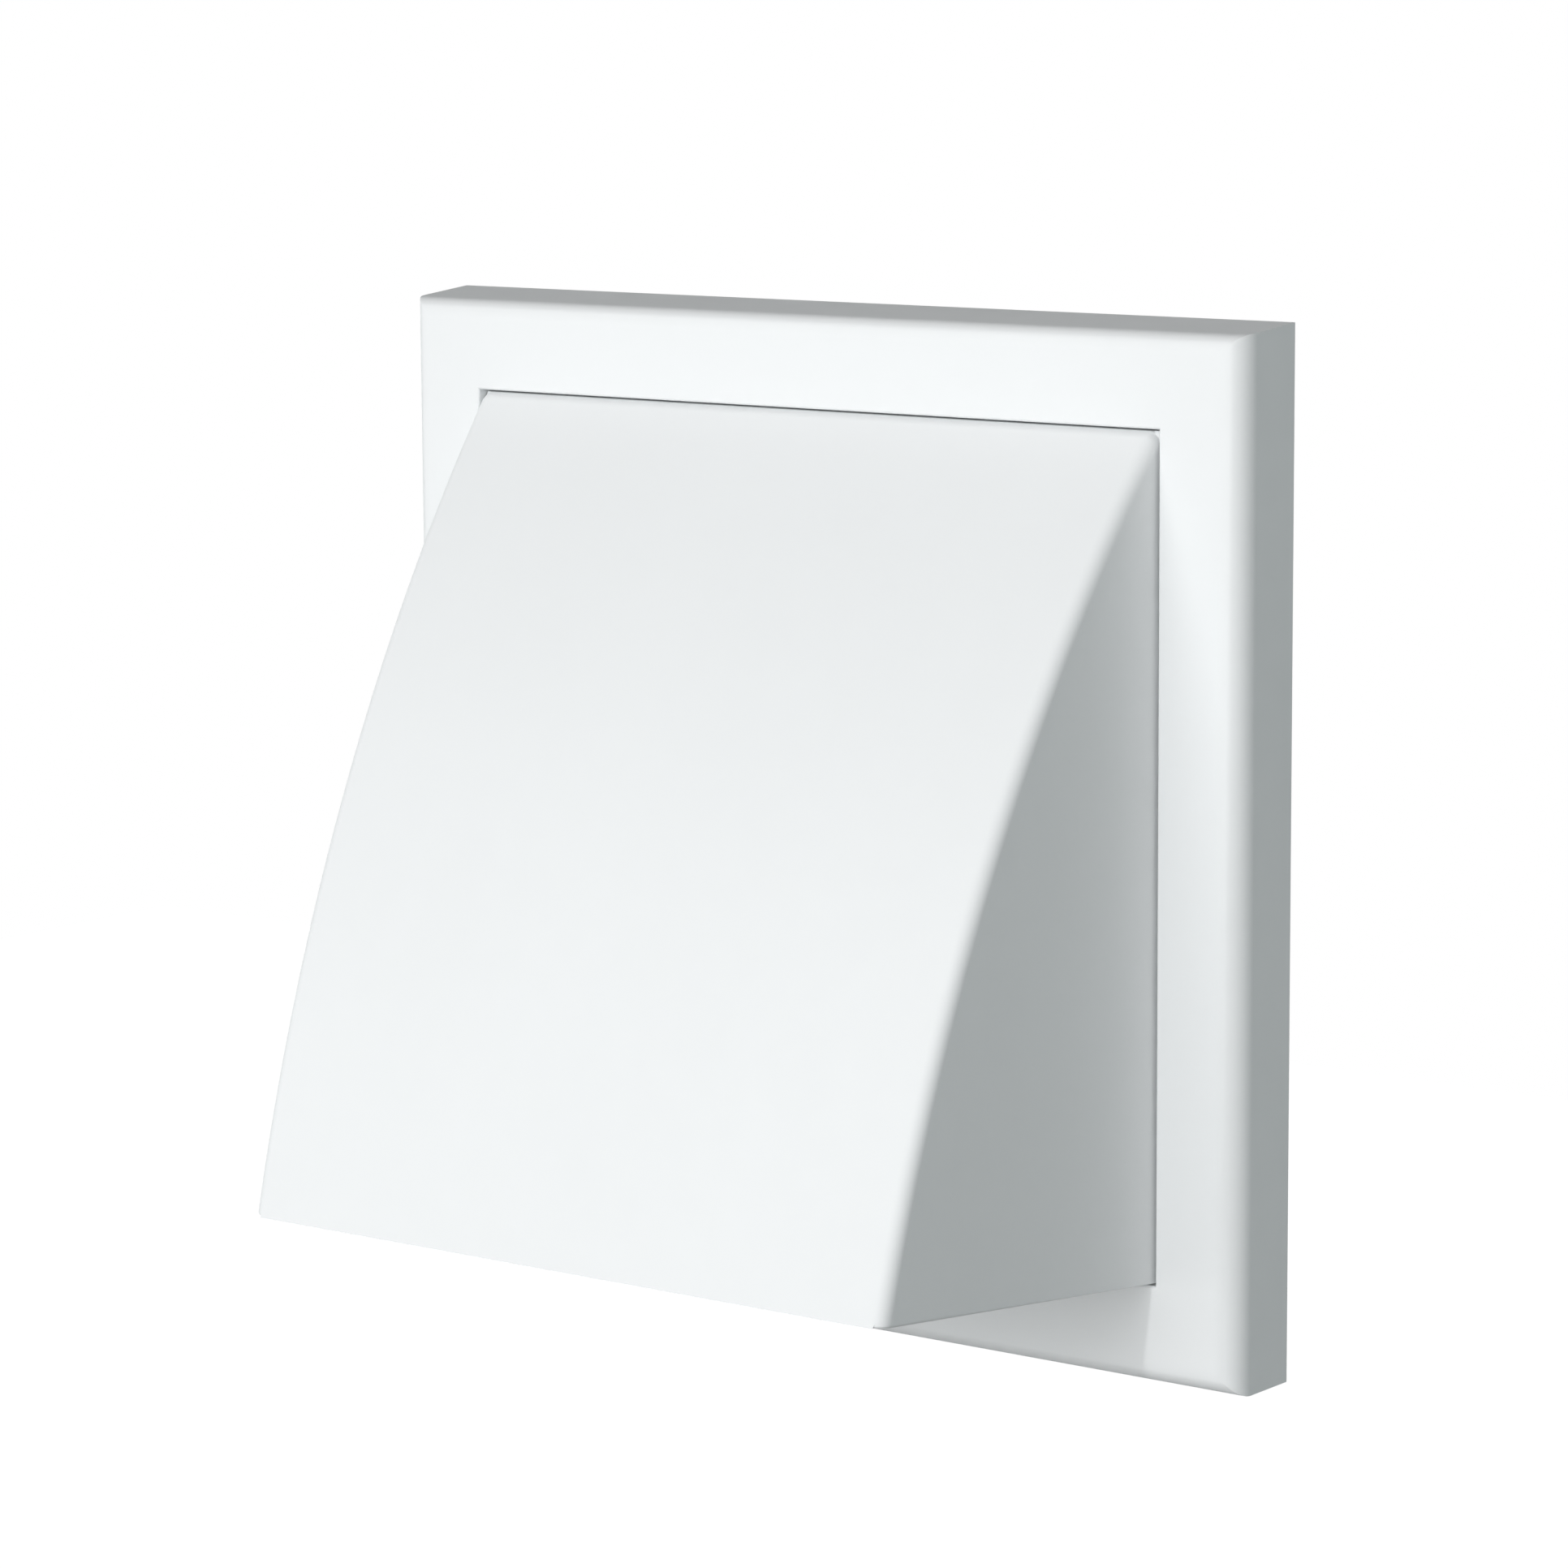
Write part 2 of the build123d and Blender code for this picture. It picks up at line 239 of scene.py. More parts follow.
class VentStage(bpy.types.PropertyGroup):
    """View and light."""

    view_target: position("Target", "Point on the view's axis", (-9.6, -6.6, 4.1))
    view_distance: length("Distance", "Target to camera", 844.1)
    view_azimuth: angle("Azimuth", "Camera's turn to the right of the front", 37.49)
    view_elevation: angle("Elevation", "Camera's height over the target", 8.75)
    view_roll: angle("Roll", "Camera's turn about its own axis", -0.336)
    lens: FloatProperty(
        name="Lens", description="Focal length on a 36 mm sensor", default=127.73, unit="CAMERA"
    )
    floor_drop: length("Floor", "Duct axis to the floor, because the vent hangs on a wall", 1000.0)
    floor_half: length("Floor half width", "Half width of the floor", 4000.0)
    floor_colour: colour("Floor", "Pale floor", "#BEBFBF")
    key_place: position("Key place", "Small lamp high in front", (0.0, -1854.0, 749.0))
    key_size: length("Key size", "Width of the small lamp", 60.0)
    key_watts: watts("Key", "Power of the small lamp", 5.7)
    soft_place: position("Softbox place", "Broad lamp in front", (0.0, -1535.0, 450.0))
    soft_size: length("Softbox size", "Width of the broad lamp", 1750.0)
    soft_watts: watts("Softbox", "Power of the broad lamp", 20.2)
    ambient_front: colour("Ambient, front", "Light from the walls in front of the vent", "#DADDDC")
    ambient_back: colour("Ambient, back", "Light from the walls behind the vent", "#EAF8F8")
    ambient_above: colour("Ambient, above", "Light from the ceiling, which is dim", "#0A0B0B")


# Mesh helpers


def spread(number, pitch):
    """Evenly spaced places about zero."""
    return [(i - (number - 1) / 2) * pitch for i in range(number)]


def mirrored(x, z):
    """The four places at x and z to each side of the duct axis."""
    return [(sx * x, sz * z) for sx in (-1, 1) for sz in (-1, 1)]


def bevel(bm, geom, radius, segments, affect="EDGES"):
    """Rounds edges or corners."""
    bmesh.ops.bevel(
        bm, geom=geom, offset=radius, offset_type="OFFSET", segments=segments, profile=0.5, affect=affect,
        material=-1,
    )


def sharp_edges(bm):
    """The edges where two faces meet at more than a slight angle."""
    return [edge for edge in bm.edges if edge.calc_face_angle() > SHARP_ANGLE]


def gather(parts):
    """One bmesh that holds all the parts, which are used up."""
    whole = parts[0]
    for part in parts[1:]:
        carrier = bpy.data.meshes.new("carrier")
        part.to_mesh(carrier)
        part.free()
        whole.from_mesh(carrier)
        bpy.data.meshes.remove(carrier)
    return whole


def section(points, roundings=None, closed=True):
    """A wire through (across, depth) points in the plane z = 0.
    roundings gives the radius of some corners, by their place in the list."""
    bm = bmesh.new()
    verts = [bm.verts.new((across, depth, 0.0)) for across, depth in points]
    ring = verts + verts[:1] if closed else verts
    for pair in zip(ring, ring[1:]):
        bm.edges.new(pair)
    for corner, radius in (roundings or {}).items():
        bevel(bm, [verts[corner]], radius, segments=8, affect="VERTICES")
    return bm


def spun(bm, steps):
    """Spins a section about the duct axis."""
    bmesh.ops.spin(
        bm, geom=bm.verts[:] + bm.edges[:], cent=(0, 0, 0), axis=(0, 1, 0), angle=math.tau, steps=steps,
        use_merge=True,
    )
    return bm


def spun_square(bm):
    """Spins a section in four steps: a square of straight sides whose corners are mitres."""
    for vert in bm.verts:
        vert.co.z = vert.co.x
    return spun(bm, steps=4)


def pushed(bm, height):
    """Fills a closed section and pushes it along Z to both sides, to that height in all."""
    made = bmesh.ops.edgeloop_fill(bm, edges=bm.edges)
    bmesh.ops.translate(bm, verts=bm.verts, vec=(0, 0, -height / 2))
    top = bmesh.ops.extrude_face_region(bm, geom=made["faces"])["geom"]
    bmesh.ops.translate(bm, verts=[v for v in top if isinstance(v, bmesh.types.BMVert)], vec=(0, 0, height))
    return bm


def placed(bm, place, turn=Matrix.Identity(4)):
    """Turns a bmesh and moves it to its place."""
    bmesh.ops.transform(bm, matrix=Matrix.Translation(place) @ turn, verts=bm.verts)
    return bm


def slab(low, high, rounding=0.0):
    """A box between two corners, with its edges rounded."""
    low, high = Vector(low), Vector(high)
    sizes = Matrix.Diagonal((high - low).to_4d())
    bm = bmesh.new()
    bmesh.ops.create_cube(bm, size=1.0, matrix=Matrix.Translation((low + high) / 2) @ sizes)
    if rounding:
        bevel(bm, bm.edges[:], rounding, segments=2)
    return bm


def rod(start, end, radius, steps, rounding=0.0):
    """A round bar between two points, with its rims rounded."""
    start, end = Vector(start), Vector(end)
    along = end - start
    turn = along.to_track_quat("Z", "Y").to_matrix().to_4x4()
    bm = bmesh.new()
    bmesh.ops.create_cone(
        bm, cap_ends=True, segments=steps, radius1=radius, radius2=radius, depth=along.length,
        matrix=Matrix.Translation((start + end) / 2) @ turn,
    )
    if rounding:
        bevel(bm, sharp_edges(bm), rounding, segments=3)
    return bm


def hinge_rod(near, far, radius, steps, rounding=0.0):
    """A round bar on the hinge's axis between two places in X."""
    return rod((near, HINGE.y, HINGE.z), (far, HINGE.y, HINGE.z), radius, steps, rounding)


def trimmed(bm, point, normal):
    """Cuts off what lies on the normal's side of a plane and closes the cut."""
    geom = bm.verts[:] + bm.edges[:] + bm.faces[:]
    bmesh.ops.bisect_plane(
        bm, geom=geom, dist=MERGE_DISTANCE, plane_co=point, plane_no=normal, clear_outer=True
    )
    bmesh.ops.edgeloop_fill(bm, edges=[edge for edge in bm.edges if edge.is_boundary])


def as_object(bm, name):
    """A linked object from a bmesh whose doubles are merged and whose faces point outwards."""
    bmesh.ops.remove_doubles(bm, verts=bm.verts, dist=MERGE_DISTANCE)
    bmesh.ops.recalc_face_normals(bm, faces=bm.faces)
    mesh = bpy.data.meshes.new(name)
    bm.to_mesh(mesh)
    bm.free()
    made = bpy.data.objects.new(name, mesh)
    bpy.context.scene.collection.objects.link(made)
    return made


def combine(piece, tool_mesh, operation):
    """Joins a bmesh to a piece or cuts it out of the piece."""
    tool = as_object(tool_mesh, "tool")
    change = piece.modifiers.new(operation, "BOOLEAN")
    change.operation = operation
    change.solver = "EXACT"
    change.use_self = True
    change.object = tool
    result = piece.evaluated_get(bpy.context.evaluated_depsgraph_get())
    used_up = (piece.data, tool.data)
    piece.data = bpy.data.meshes.new_from_object(result)
    piece.modifiers.remove(change)
    bpy.data.objects.remove(tool)
    for mesh in used_up:
        bpy.data.meshes.remove(mesh)
    piece.data.name = piece.name
    if not piece.data.polygons:
        raise RuntimeError(f"{piece.name} came out empty after {operation}")


def dress(piece, material, body, node):
    """Gives a finished piece its shading, its material and its place in the frame."""
    mesh = piece.data
    mesh.materials.clear()
    mesh.materials.append(material)
    mesh.shade_smooth()
    mesh.set_sharp_from_angle(angle=SHARP_ANGLE)
    weighted = piece.modifiers.new("flat faces stay flat", "WEIGHTED_NORMAL")
    weighted.keep_sharp = True
    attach(piece, body)
    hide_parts(node)


# Materials

# Roughness, from the glossiest to the mattest patch, and IOR of each plastic
ABS_ROUGHNESS = (0.70, 0.80)
ABS_IOR = 1.53
POLYPROPYLENE_ROUGHNESS = (0.76, 0.86)
POLYPROPYLENE_IOR = 1.49

# Most values of a noise pattern lie in this band
NOISE_BAND = (0.3, 0.7)

# Paper of the floor: its fibres, drawn coarse enough to show, and the glow that turns it white when seen
PAPER_FIBRE = 2.0 * MM
PAPER_TOOTH = 0.05 * MM
PAPER_GLOW = 0.94
WHITE = (1.0, 1.0, 1.0, 1.0)


def add(tree, kind, inputs=None, **settings):
    """Adds a node, sets its properties, and fills its inputs with values or other nodes' sockets."""
    made = tree.nodes.new(kind)
    for name, value in settings.items():
        setattr(made, name, value)
    for name, value in (inputs or {}).items():
        if isinstance(value, bpy.types.NodeSocket):
            tree.links.new(value, made.inputs[name])
        else:
            made.inputs[name].default_value = value
    return made


def empty_tree(owner):
    """The emptied node tree of a material or a world."""
    owner.use_nodes = True
    owner.node_tree.nodes.clear()
    return owner.node_tree


def moulded_plastic(name, base, shade, roughness, ior, finish):
    """White plastic from a spark-eroded tool: an even, soft satin skin, with a grain that is only felt near
    a highlight, faint clouds where the melt cooled last, and shallow sinks that bend reflections a little."""
    material = bpy.data.materials.get(name)
    if material:
        return material
    material = bpy.data.materials.new(name)
    tree = empty_tree(material)
    place = add(tree, "ShaderNodeTexCoord").outputs["Object"]
    cloud = add(tree, "ShaderNodeTexNoise", {"Vector": place, "Scale": 1 / finish.cloud, "Detail": 3.0})
    tint = add(tree, "ShaderNodeMixRGB", {"Fac": cloud.outputs["Fac"], "Color1": base, "Color2": shade})
    gloss = add(tree, "ShaderNodeTexNoise", {"Vector": place, "Scale": 1 / finish.gloss_patch, "Detail": 4.0})
    rough = add(
        tree, "ShaderNodeMapRange",
        {"Value": gloss.outputs["Fac"], "From Min": NOISE_BAND[0], "From Max": NOISE_BAND[1],
         "To Min": roughness[0], "To Max": roughness[1]},
    )
    # The real grain is about 0.1 mm wide; it is drawn coarser, so that it shows at all
    grain = add(tree, "ShaderNodeTexNoise", {"Vector": place, "Scale": 1 / finish.grain, "Detail": 2.0})
    sink = add(
        tree, "ShaderNodeBump",
        {"Strength": 1.0, "Distance": finish.sink_depth, "Height": cloud.outputs["Fac"]},
    )
    skin = add(
        tree, "ShaderNodeBump",
        {"Strength": 1.0, "Distance": finish.grain_depth, "Height": grain.outputs["Fac"],
         "Normal": sink.outputs["Normal"]},
    )
    shader = add(
        tree, "ShaderNodeBsdfPrincipled",
        {"Base Color": tint.outputs["Color"], "Roughness": rough.outputs["Result"], "IOR": ior,
         "Normal": skin.outputs["Normal"]},
    )
    add(tree, "ShaderNodeOutputMaterial", {"Surface": shader.outputs["BSDF"]})
    return material


def shell_plastic(finish):
    """ABS of the frame and the hood."""
    return moulded_plastic(
        "moulded_abs_satin", finish.shell_colour, finish.shell_shade, ABS_ROUGHNESS, ABS_IOR, finish
    )


def flap_plastic(finish):
    """Polypropylene of the flap, which is matter and a little greyer."""
    return moulded_plastic(
        "moulded_polypropylene_matt", finish.flap_colour, finish.flap_shade,
        POLYPROPYLENE_ROUGHNESS, POLYPROPYLENE_IOR, finish,
    )


def seen_directly(tree):
    """One where the camera sees a surface, by itself or through gloss or glass, and zero for light rays."""
    ray = add(tree, "ShaderNodeLightPath").outputs
    gloss = add(
        tree, "ShaderNodeMath", {0: ray["Is Camera Ray"], 1: ray["Is Glossy Ray"]}, operation="MAXIMUM"
    )
    return add(
        tree, "ShaderNodeMath", {0: gloss.outputs[0], 1: ray["Is Transmission Ray"]}, operation="MAXIMUM"
    ).outputs[0]


def white_paper(stage):
    """Matt paper of the floor, which keeps shadows and is lifted to white where it is seen."""
    material = bpy.data.materials.new("white_paper")
    tree = empty_tree(material)
    place = add(tree, "ShaderNodeTexCoord").outputs["Object"]
    fibre = add(tree, "ShaderNodeTexNoise", {"Vector": place, "Scale": 1 / PAPER_FIBRE, "Detail": 2.0})
    tooth = add(
        tree, "ShaderNodeBump", {"Strength": 0.3, "Distance": PAPER_TOOTH, "Height": fibre.outputs["Fac"]}
    )
    glow = add(tree, "ShaderNodeMath", {0: seen_directly(tree), 1: PAPER_GLOW}, operation="MULTIPLY")
    shader = add(
        tree, "ShaderNodeBsdfPrincipled",
        {"Base Color": stage.floor_colour, "Roughness": 0.9, "Normal": tooth.outputs["Normal"],
         "Emission Color": WHITE, "Emission Strength": glow.outputs[0]},
    )
    add(tree, "ShaderNodeOutputMaterial", {"Surface": shader.outputs["BSDF"]})
    return material


# Wall frame


def slope_top(s, bm):
    """Lets the rim's top fall to the front and gives its edge its own rounding.
    The sides keep theirs, because only heights move."""
    hub_y = s.front + s.edge_radius
    hub_z = s.half_width - s.edge_radius
    for vert in bm.verts:
        reach = math.hypot(vert.co.y - hub_y, vert.co.z - hub_z)
        if abs(reach - s.edge_radius) < MERGE_DISTANCE:
            ahead = max(0.0, s.front + s.top_edge_radius - vert.co.y)
            drop = s.top_edge_radius - math.sqrt(max(0.0, s.top_edge_radius ** 2 - ahead ** 2))
            vert.co.z = s.half_width - s.top_fall * vert.co.y / s.front - drop


def frame_rim(s):
    """Rim, front skin and well: one section spun to a square, with the well stretched in X."""
    inside = s.half_width - s.wall
    skin_back = s.front + s.wall
    well = s.opening_half_z + s.well_wall
    outline = [
        (s.opening_half_z, s.front), (s.half_width, s.front), (s.half_width, 0.0), (inside, 0.0),
        (inside, skin_back), (well, skin_back), (well, -s.plate / 2), (s.opening_half_z, -s.plate / 2),
    ]
    roundings = {0: s.opening_radius, 1: s.edge_radius, 2: FINE_EDGE, 3: FINE_EDGE}
    bm = spun_square(section(outline, roundings))
    stretch = s.opening_half_x - s.opening_half_z
    for vert in bm.verts:
        if max(abs(vert.co.x), abs(vert.co.z)) < well + MERGE_DISTANCE:
            vert.co.x += math.copysign(stretch, vert.co.x)
    slope_top(s, bm)
    return bm


def hood_stops(s):
    """Ribs on the well's walls that the hood's skirt rests on, one in the middle of each side."""
    root = EMBED - s.plate
    stops = []
    for side in (-1, 1):
        x = sorted((side * (s.opening_half_x - s.stop_height), side * (s.opening_half_x + EMBED)))
        z = sorted((side * (s.opening_half_z - s.stop_height), side * (s.opening_half_z + EMBED)))
        stops.append(slab((x[0], s.stop_front, -s.stop_half), (x[1], root, s.stop_half)))
        stops.append(slab((-s.stop_half, s.stop_front, z[0]), (s.stop_half, root, z[1])))
    return stops


def spigot(s):
    """The duct spigot with its lead-in, and the flap's seat in front of the plate."""
    seat = -s.plate - s.seat_height
    bore = s.spigot_radius - s.spigot_wall
    outline = [
        (bore, seat), (s.spigot_radius, seat), (s.spigot_radius, s.spigot_end - s.lead_in),
        (s.spigot_radius - s.lead_in, s.spigot_end), (bore, s.spigot_end),
    ]
    return spun(section(outline, {0: FINE_EDGE, 1: FINE_EDGE, 4: FINE_EDGE}), SPIGOT_STEPS)


def frame_ribs(s):
    """Stiffening ribs across the hollow between the rim and the well."""
    inner = s.opening_half_z + s.well_wall - EMBED
    outer = s.half_width - s.wall + EMBED
    front = s.front + s.wall - EMBED
    half = s.rib_thickness / 2
    ribs = []
    for along in spread(s.ribs, s.rib_pitch):
        for side in (-1, 1):
            near, far = sorted((side * inner, side * outer))
            ribs.append(slab((near, front, along - half), (far, -s.rib_setback, along + half), FINE_EDGE))
            ribs.append(slab((along - half, front, near), (along + half, -s.rib_setback, far), FINE_EDGE))
    return ribs


def screw_places(s):
    """Where the screws are, in X and Z."""
    return mirrored(s.screw_pitch_x / 2, s.screw_pitch_z / 2)


def screw_boss(s, x, z):
    """A boss on the back plate round a screw hole."""
    front = -s.plate - s.boss_height
    return rod((x, EMBED - s.plate, z), (x, front, z), s.boss_radius, steps=48, rounding=FINE_EDGE)


def screw_hole(s, x, z):
    """A screw's clearance hole and countersink, as the shape to cut out."""
    boss_front = -s.plate - s.boss_height
    outline = [
        (0.0, boss_front - PAST), (s.screw_head_radius, boss_front - PAST), (s.screw_head_radius, boss_front),
        (s.screw_radius, boss_front + s.screw_sink), (s.screw_radius, PAST), (0.0, PAST),
    ]
    return placed(spun(section(outline, closed=False), steps=48), (x, 0, z))


def hinge_lug(s, side):
    """A lug on the back plate, rounded about the hinge pin."""
    root, tip = EMBED - s.plate, HINGE.y - s.lug_radius
    outline = [(-s.lug_radius, root), (s.lug_radius, root), (s.lug_radius, tip), (-s.lug_radius, tip)]
    # A hair less than a half circle, so that the two roundings don't meet in one point
    full_round = 0.999 * s.lug_radius
    lug = pushed(section(outline, {2: full_round, 3: full_round}), s.lug_thickness)
    return placed(lug, (side * s.lug_x, 0, HINGE.z), Matrix.Rotation(math.radians(90), 4, "Y"))


def snap_window(s, x, z):
    """A window in the well's side wall for a hook of the hood, as the shape to cut out."""
    low = (x - s.well_wall, s.window_front, z - s.window_half)
    return slab(low, (x + s.well_wall, s.window_back, z + s.window_half))


def pin_cuts(s, side):
    """A lug's bore for the hinge pin and the slot that the pin snaps through, as the shapes to cut out."""
    near, far = side * s.lug_x - s.lug_thickness, side * s.lug_x + s.lug_thickness
    low = (near, HINGE.y - s.lug_radius - PAST, HINGE.z - s.slot_half)
    slot = slab(low, (far, HINGE.y, HINGE.z + s.slot_half))
    return [hinge_rod(near, far, s.pin_bore_radius, steps=32), slot]


class VENT_OT_frame(bpy.types.Operator):
    """Models the wall frame with its well, spigot, ribs, screw bosses and hinge lugs"""

    bl_idname = "vent.frame"
    bl_label = "Wall frame"

    def execute(self, context):
        s = context.scene.vent_frame
        well_x = s.opening_half_x + s.well_wall
        well_z = s.opening_half_z + s.well_wall
        piece = as_object(slab((-well_x, -s.plate, -well_z), (well_x, 0.0, well_z)), "frame_moulding")
        in_spigot_wall = s.spigot_radius - s.spigot_wall / 2
        combine(piece, rod((0, -s.plate - PAST, 0), (0, PAST, 0), in_spigot_wall, SPIGOT_STEPS), "DIFFERENCE")
        screws = screw_places(s)
        added = [frame_rim(s), spigot(s), *hood_stops(s), *frame_ribs(s)]
        added += [screw_boss(s, x, z) for x, z in screws]
        added += [hinge_lug(s, side) for side in (-1, 1)]
        combine(piece, gather(added), "UNION")
        windows = mirrored(s.opening_half_x + s.well_wall / 2, s.window_pitch / 2)
        cuts = [screw_hole(s, x, z) for x, z in screws]
        cuts += [snap_window(s, x, z) for x, z in windows]
        cuts += [*pin_cuts(s, -1), *pin_cuts(s, 1)]
        combine(piece, gather(cuts), "DIFFERENCE")
        dress(piece, shell_plastic(context.scene.vent_finish), "vent_body", "wall_frame")
        return {"FINISHED"}


# Hood


def hood_bow(s):
    """Start and hub of the bow from the hood's top edge to its lip, and the bow's angle."""
    root = Vector((0, s.front, s.top))
    lip = Vector((0, s.lip, s.lip_rise - s.top))
    half = (lip - root).length / 2
    inward = (lip - root).cross(Vector((-1, 0, 0))).normalized()
    hub = (root + lip) / 2 + inward * math.sqrt(s.bow_radius ** 2 - half ** 2)
    return root, hub, 2 * math.asin(half / s.bow_radius)


def cowl_body(s, inset, top_rounding):
    """The space under the hood's bow, between its tapering sides and in its straight skirt.
    It is smaller by the inset, and its bow runs a few steps past the lip, to be trimmed."""
    root, hub, bow_angle = hood_bow(s)
    steps = 48
    all_steps = steps + 4
    bm = bmesh.new()
    first = bm.verts.new(hub.lerp(root, 1 - inset / s.bow_radius))
    bmesh.ops.spin(
        bm, geom=bm.verts[:], cent=hub, axis=(1, 0, 0), angle=bow_angle * all_steps / steps, steps=all_steps
    )
    lowest = min(vert.co.z for vert in bm.verts)
    heel = bm.verts.new((0, s.collar, lowest))
    bm.verts.new((0, s.skirt_end, lowest))
    bm.verts.new((0, s.skirt_end, first.co.z))
    nape = bm.verts.new((0, s.collar, first.co.z))
    bm.faces.new(bm.verts)
    bmesh.ops.connect_verts(bm, verts=[heel, nape])
    if top_rounding:
        slope = math.atan2(s.front - hub.y, root.z - hub.z)
        bevel(bm, [first], top_rounding * math.tan(abs(slope) / 2), segments=6, affect="VERTICES")
    bmesh.ops.translate(bm, verts=bm.verts, vec=(-1, 0, 0))
    far = bmesh.ops.extrude_face_region(bm, geom=bm.faces[:])["geom"]
    bmesh.ops.translate(bm, verts=[v for v in far if isinstance(v, bmesh.types.BMVert)], vec=(2, 0, 0))
    lean = math.atan2(s.half_width - s.lip_half_width, s.collar - s.lip)
    for vert in bm.verts:
        taper = max(0.0, s.collar - vert.co.y) * math.tan(lean)
        vert.co.x *= s.half_width - taper - inset / math.cos(lean)
    bmesh.ops.recalc_face_normals(bm, faces=bm.faces)
    return bm


def rim_plane(s):
    """A point on the plane of the hood's open rim, and the plane's normal."""
    return Vector((0, s.lip, s.lip_rise - s.top)), Vector((0, -s.lip_rise, s.lip - s.front)).normalized()


def cowl(s):
    """The hood's thin bowed shell with its back still closed and its front edges rounded."""
    outside = cowl_body(s, 0.0, s.top_radius)
    sides = {face for face in outside.faces if abs(face.normal.x) > SIDEWAYS}
    fronts = {face for face in outside.faces if face.normal.y < -AHEAD and face.normal.z > -DOWNWARDS} - sides
    upright = [edge for edge in outside.edges if not sides.isdisjoint(edge.link_faces)
               and not fronts.isdisjoint(edge.link_faces)]
    bevel(outside, upright, s.edge_radius, segments=8)
    trimmed(outside, *rim_plane(s))
    trimmed(outside, (0, 0, -s.top), (0, 0, -1))
    inside = cowl_body(s, s.wall, 0.0)
    trimmed(inside, (0, s.front, 0), (0, 1, 0))
    shell = as_object(outside, "hood_moulding")
    combine(shell, inside, "DIFFERENCE")
    return shell


def throat(s):
    """The way from the hood into the frame, as the shape to cut out: it leaves the bow its full thickness."""
    root, hub, _ = hood_bow(s)
    x, z = s.half_width - s.wall, s.top - s.wall
    bm = slab((-x, s.front - EMBED, -z), (x, s.skirt_end + PAST, z))
    outward = (root - hub).normalized()
    trimmed(bm, root - outward * s.wall, outward)
    return bm


def tongue_slits(s, side, z):
    """The skirt's side from slit to slit of a tongue, as the shape to cut out."""
    x = sorted((side * (s.half_width - 2 * s.wall), side * (s.half_width + s.wall)))
    half = s.tongue_half + s.tongue_slit
    return slab((x[0], s.collar, z - half), (x[1], s.skirt_end + PAST, z + half))


def snap_tongue(s, side, z):
    """A springy tongue in the skirt's side, with the hook that catches in the frame's window."""
    inside = s.half_width - s.tongue_thickness
    outline = [
        (inside, s.collar - EMBED), (s.half_width, s.collar - EMBED), (s.half_width, s.hook_face),
        (s.hook_tip, s.hook_face), (s.half_width, s.tongue_end), (inside, s.tongue_end),
    ]
    tongue = pushed(section([(side * across, depth) for across, depth in outline]), 2 * s.tongue_half)
    return placed(tongue, (0, 0, z))


def round_rim(s, piece):
    """Rounds both edges of the hood's open rim."""
    point, down = rim_plane(s)
    bm = bmesh.new()
    bm.from_mesh(piece.data)
    rim = [
        edge for edge in sharp_edges(bm)
        if all(abs((vert.co - point).dot(down)) < MERGE_DISTANCE for vert in edge.verts)
        and min(vert.co.y for vert in edge.verts) < s.front - EMBED
    ]
    bevel(bm, rim, s.rim_radius, segments=3)
    bm.to_mesh(piece.data)
    bm.free()


class VENT_OT_hood(bpy.types.Operator):
    """Models the hood with its skirt and snap tongues"""

    bl_idname = "vent.hood"
    bl_label = "Hood"

    def execute(self, context):
        s = context.scene.vent_hood
        places = mirrored(1, s.tongue_pitch / 2)
        piece = cowl(s)
        combine(piece, throat(s), "DIFFERENCE")
        combine(piece, gather([tongue_slits(s, side, z) for side, z in places]), "DIFFERENCE")
        combine(piece, gather([snap_tongue(s, side, z) for side, z in places]), "UNION")
        round_rim(s, piece)
        dress(piece, shell_plastic(context.scene.vent_finish), "vent_body", "hood")
        return {"FINISHED"}


# Flap


def flap_disc(s):
    """The disc with its raised rim."""
    bm = rod((0, s.back, 0), (0, s.rim_front, 0), s.radius, steps=144)
    front = min(bm.faces, key=lambda face: face.calc_center_median().y)
    bmesh.ops.inset_individual(bm, faces=[front], thickness=s.rim_width, use_even_offset=True)
    bmesh.ops.translate(bm, verts=front.verts, vec=(0, s.back - s.plate - s.rim_front, 0))
    bevel(bm, sharp_edges(bm), FINE_EDGE, segments=2)
    return bm


def flap_rib(s, x):
    """An upright rib on the disc's front, from the rim below to the hinge."""
    half = s.rib_thickness / 2
    foot = math.sqrt((s.radius - s.rim_width / 2) ** 2 - x ** 2)
    return slab((x - half, s.rim_front, -foot), (x + half, s.back - s.plate + EMBED, HINGE.z), FINE_EDGE)


class VENT_OT_flap(bpy.types.Operator):
    """Models the gravity flap with its rim, ribs, barrel and pins"""

    bl_idname = "vent.flap"
    bl_label = "Flap"

    def execute(self, context):
        s = context.scene.vent_flap
        shoulder = slab((-s.barrel_half, s.back - s.plate, s.radius / 2), (s.barrel_half, s.back, HINGE.z))
        ribs = [flap_rib(s, x) for x in spread(s.ribs, s.rib_pitch)]
        barrel = hinge_rod(-s.barrel_half, s.barrel_half, s.barrel_radius, steps=40, rounding=FINE_EDGE)
        pins = hinge_rod(-s.pin_half, s.pin_half, s.pin_radius, steps=32, rounding=FINE_EDGE)
        piece = as_object(flap_disc(s), "flap_moulding")
        for part in (shoulder, *ribs, barrel, pins):
            combine(piece, part, "UNION")
        dress(piece, flap_plastic(context.scene.vent_finish), "flap", "flap")
        return {"FINISHED"}


# Stage

SENSOR_WIDTH = 36.0
CLIP_START = 0.01

# Parts of a direction along Y, into the wall, and along Z, up, between which the room's light changes
WALLS_CHANGE = (-0.2, 0.4)
CEILING_FADES = (0.0, 0.6)


